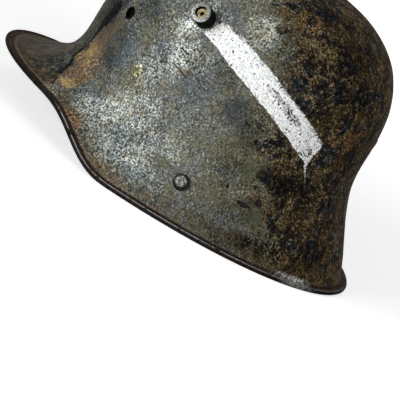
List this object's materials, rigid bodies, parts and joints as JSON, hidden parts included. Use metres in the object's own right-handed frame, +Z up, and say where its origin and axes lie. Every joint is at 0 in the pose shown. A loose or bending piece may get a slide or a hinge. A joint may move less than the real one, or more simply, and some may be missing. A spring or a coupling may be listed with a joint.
{
  "type": "steel helmet",
  "caption": "Pressed steel helmet with stepped visor and flared neck guard, side ventilator lugs, strap posts and a riveted band liner with fold-down leather pads.",
  "frame": {"origin": "on the surface that the skirt stands on, under the middle of the shell's length and width", "axes": "+Z up through the crown, -Y towards the visor, +X towards the wearer's left"},
  "size_m": [0.228, 0.2981, 0.1745],
  "materials": {
    "shell_paint": "worn and rusted field paint with a white painted bar on the left side",
    "lug_steel": "darkened steel, worn bright on the outer ring",
    "rivet_steel": "darkened steel under worn paint",
    "post_steel": "dull steel with brown spots",
    "pin_steel": "darkened steel with rust",
    "band_steel": "grey paint with rust at the edges",
    "pad_rivet_steel": "dull zinced steel",
    "pad_leather": "old tanned leather, darkened at the edges",
    "cushion_linen": "unbleached linen, soiled"
  },
  "bodies": {
    "helmet": {"shell": "shell_paint", "ventilator_lug_left": "lug_steel", "ventilator_lug_right": "lug_steel", "chinstrap_rivet_left": "rivet_steel", "chinstrap_rivet_right": "rivet_steel", "chinstrap_post_left": "post_steel", "chinstrap_post_right": "post_steel", "split_pin_front_right": "pin_steel", "split_pin_rear": "pin_steel", "liner_band": "band_steel", "pad_front_left": "pad_leather", "pad_front_right": "pad_leather", "pad_rear": "pad_leather", "pad_rivets_front_left": "pad_rivet_steel", "pad_rivets_front_right": "pad_rivet_steel", "pad_rivets_rear": "pad_rivet_steel", "cushion_front_left": "cushion_linen", "cushion_front_right": "cushion_linen", "cushion_rear": "cushion_linen"},
    "tongue_front_left_a": {"tongue_front_left_a": "pad_leather"},
    "tongue_front_left_b": {"tongue_front_left_b": "pad_leather"},
    "tongue_front_right_a": {"tongue_front_right_a": "pad_leather"},
    "tongue_front_right_b": {"tongue_front_right_b": "pad_leather"},
    "tongue_rear_left": {"tongue_rear_left": "pad_leather"},
    "tongue_rear_right": {"tongue_rear_right": "pad_leather"}
  },
  "joints": [
    {"name": "fold_front_left_a", "type": "hinge", "parent": "helmet", "child": "tongue_front_left_a", "pos_m": [0.05088, -0.06585, 0.1121], "axis": [-0.754, -0.6569, 0], "range_deg": [0, 135]},
    {"name": "fold_front_left_b", "type": "hinge", "parent": "helmet", "child": "tongue_front_left_b", "pos_m": [0.08296, -0.00335, 0.1121], "axis": [-0.0809, -0.9967, 0], "range_deg": [0, 135]},
    {"name": "fold_front_right_a", "type": "hinge", "parent": "helmet", "child": "tongue_front_right_a", "pos_m": [-0.05088, -0.06585, 0.1121], "axis": [-0.754, 0.6569, 0], "range_deg": [0, 135]},
    {"name": "fold_front_right_b", "type": "hinge", "parent": "helmet", "child": "tongue_front_right_b", "pos_m": [-0.08296, -0.00335, 0.1121], "axis": [-0.0809, 0.9967, 0], "range_deg": [0, 135]},
    {"name": "fold_rear_left", "type": "hinge", "parent": "helmet", "child": "tongue_rear_left", "pos_m": [0.03473, 0.08655, 0.1121], "axis": [0.8978, -0.4404, 0], "range_deg": [0, 135]},
    {"name": "fold_rear_right", "type": "hinge", "parent": "helmet", "child": "tongue_rear_right", "pos_m": [-0.03473, 0.08655, 0.1121], "axis": [0.8978, 0.4404, 0], "range_deg": [0, 135]}
  ]
}
